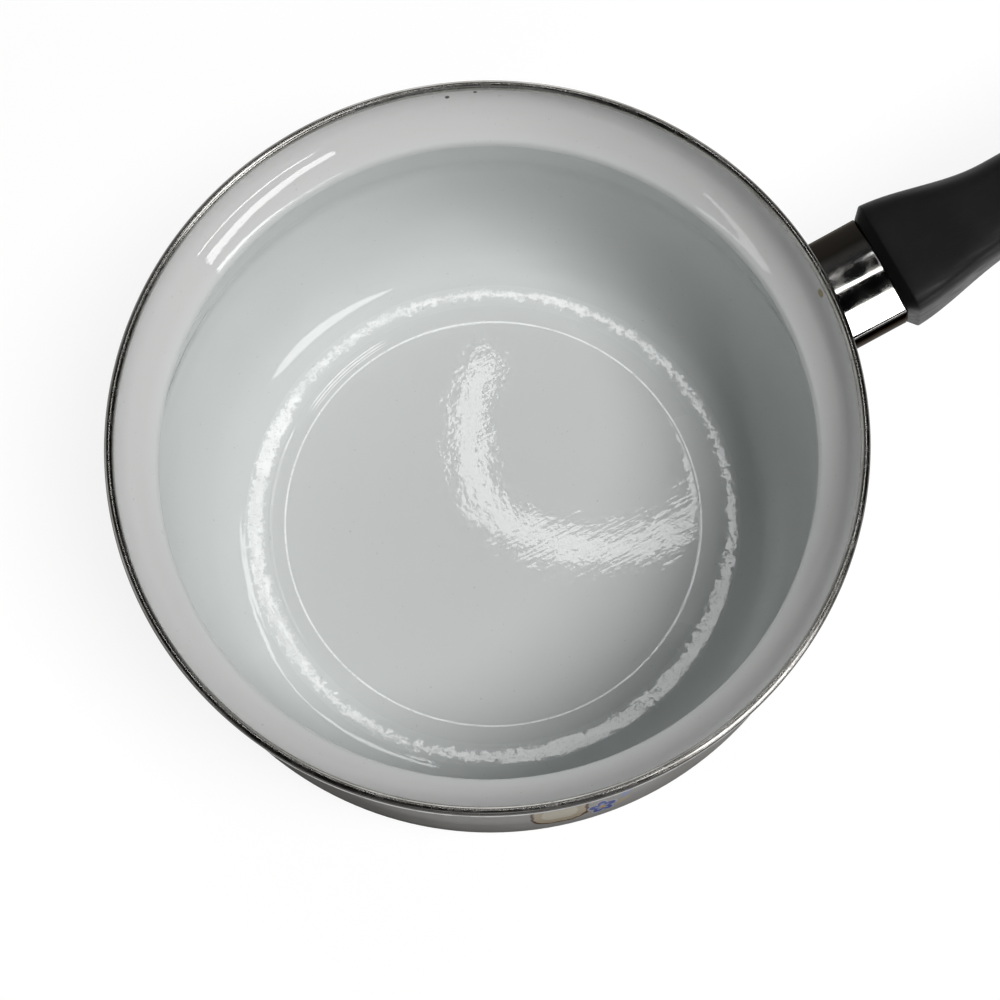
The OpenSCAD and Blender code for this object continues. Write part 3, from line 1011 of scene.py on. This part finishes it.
plug(paint.inputs["Emission Strength"], glow)
table_data.materials.append(paper)

# ---------------------------------------------------------------- Room light
# A bent ceiling tube, a soft key from the lower right of the picture, low windows on both sides
# and a dim room. The camera sees a white backdrop.
world = bpy.data.worlds.new("room")
bpy.context.scene.world = world
world.use_nodes = True
sky = world.node_tree.nodes["Background"]
heading = add(sky, "TexCoord", output=0)


def glow_from(azimuth, elevation, power, strength):
    """A soft patch of light in the room, round one direction."""
    a, e = math.radians(azimuth), math.radians(elevation)
    middle = (math.cos(a) * math.cos(e), math.sin(a) * math.cos(e), math.sin(e))
    facing = add(
        sky, "VectorMath", {0: heading, 1: middle}, output=1, operation="DOT_PRODUCT"
    )
    facing = calc(sky, "MAXIMUM", facing, 0.0)
    return calc(sky, "MULTIPLY", calc(sky, "POWER", facing, power), strength)


photo_turn = -26.46
room_glow = 0.0
for azimuth, elevation, power, strength in (
    (90, 8, 12, 2.1),
    (135, 8, 12, 0.25),
    (120, 50, 60, 0.22),
    (-90, 30, 30, 0.60),
    (180, 8, 12, 1.1),
):
    glow = glow_from(azimuth + photo_turn, elevation, power, strength)
    room_glow = calc(sky, "ADD", glow, room_glow)
behind_camera = add(sky, "LightPath", output=0)
plug(sky.inputs["Color"], (1, 1, 1))
plug(
    sky.inputs["Strength"],
    add(sky, "Mix", {0: behind_camera, 2: room_glow, 3: 1.0}, data_type="FLOAT"),
)

rim_height = 0.0969


def lamp(name, start, end, width, radiance, height=1.0):
    """A straight lamp over the pan, from one point to another of the picture's plane."""
    light = bpy.data.lights.new(name, "AREA")
    light.shape = "RECTANGLE"
    a, b = Vector((*start, 0)), Vector((*end, 0))
    light.size = (b - a).length
    light.size_y = width
    light.energy = radiance * math.pi * light.size * width
    fitting = bpy.data.objects.new(name, light)
    bpy.context.scene.collection.objects.link(fitting)
    middle = (a + b) / 2
    run = math.atan2((b - a).y, (b - a).x)
    fitting.matrix_world = (
        Matrix.Rotation(math.radians(photo_turn), 4, "Z")
        @ Matrix.Translation((middle.x, middle.y, rim_height + height))
        @ Matrix.Rotation(run, 4, "Z")
    )
    return fitting


bend = (
    (-0.025, 0.436),
    (-0.043, 0.391),
    (-0.045, 0.351),
    (-0.038, 0.312),
    (-0.024, 0.282),
    (0.005, 0.263),
    (0.042, 0.249),
    (0.079, 0.244),
    (0.117, 0.249),
    (0.154, 0.263),
    (0.185, 0.290),
    (0.195, 0.360),
    (0.185, 0.440),
    (0.150, 0.492),
    (0.080, 0.497),
    (0.020, 0.497),
)
tube_width = 0.030
tube_radiance = 5.5
for number, (start, end) in enumerate(zip(bend, bend[1:])):
    lamp(f"ceiling_tube_{number}", start, end, tube_width, tube_radiance)


def window(name, azimuth, elevation, width, height, radiance, shape="RECTANGLE", distance=1.2):
    """A bright pane that faces the pan, seen from it in a given direction of the picture."""
    light = bpy.data.lights.new(name, "AREA")
    light.shape = shape
    light.size = 2 * distance * math.tan(math.radians(width / 2))
    light.size_y = 2 * distance * math.tan(math.radians(height / 2))
    light.energy = radiance * math.pi * light.size * light.size_y
    fitting = bpy.data.objects.new(name, light)
    bpy.context.scene.collection.objects.link(fitting)
    a, e = math.radians(azimuth), math.radians(elevation)
    heading = Vector(
        (math.cos(a) * math.cos(e), math.sin(a) * math.cos(e), math.sin(e))
    )
    fitting.matrix_world = (
        Matrix.Rotation(math.radians(photo_turn), 4, "Z")
        @ Matrix.Translation(heading * distance + Vector((0, 0, rim_height)))
        @ heading.to_track_quat("Z", "Y").to_matrix().to_4x4()
    )
    return fitting


soft_key = window("soft_key", -31, 65, 24, 26, 12.0, "ELLIPSE", 4.0)
soft_key.visible_glossy = False
bright_pane = window("bright_pane", -24, 64, 17, 32, 4.0, "ELLIPSE", 0.9)
bright_pane.visible_diffuse = False
window("window", -38, 20, 34, 5.2, 8.5)
window("window_sill", -36, 6, 32, 2, 12.0)
window("far_window", -155, 21, 24, 2, 2.5)

# ---------------------------------------------------------------- Camera
# A phone held above the pan, a little to one side, looking almost straight down. Its lens and its
# place were fitted to the circles of the rim, the neck and the floor.
camera = bpy.data.cameras.new("phone")
camera.lens = 64.8
camera.sensor_width = 36
viewer = bpy.data.objects.new("phone", camera)
bpy.context.scene.collection.objects.link(viewer)
viewer.location = (-0.051581, -0.127112, 0.54733)
viewer.rotation_euler = [math.radians(a) for a in (14.6439, 0.8111, -26.248)]
bpy.context.scene.camera = viewer
bpy.context.scene.view_settings.view_transform = "Standard"

bpy.context.view_layer.update()
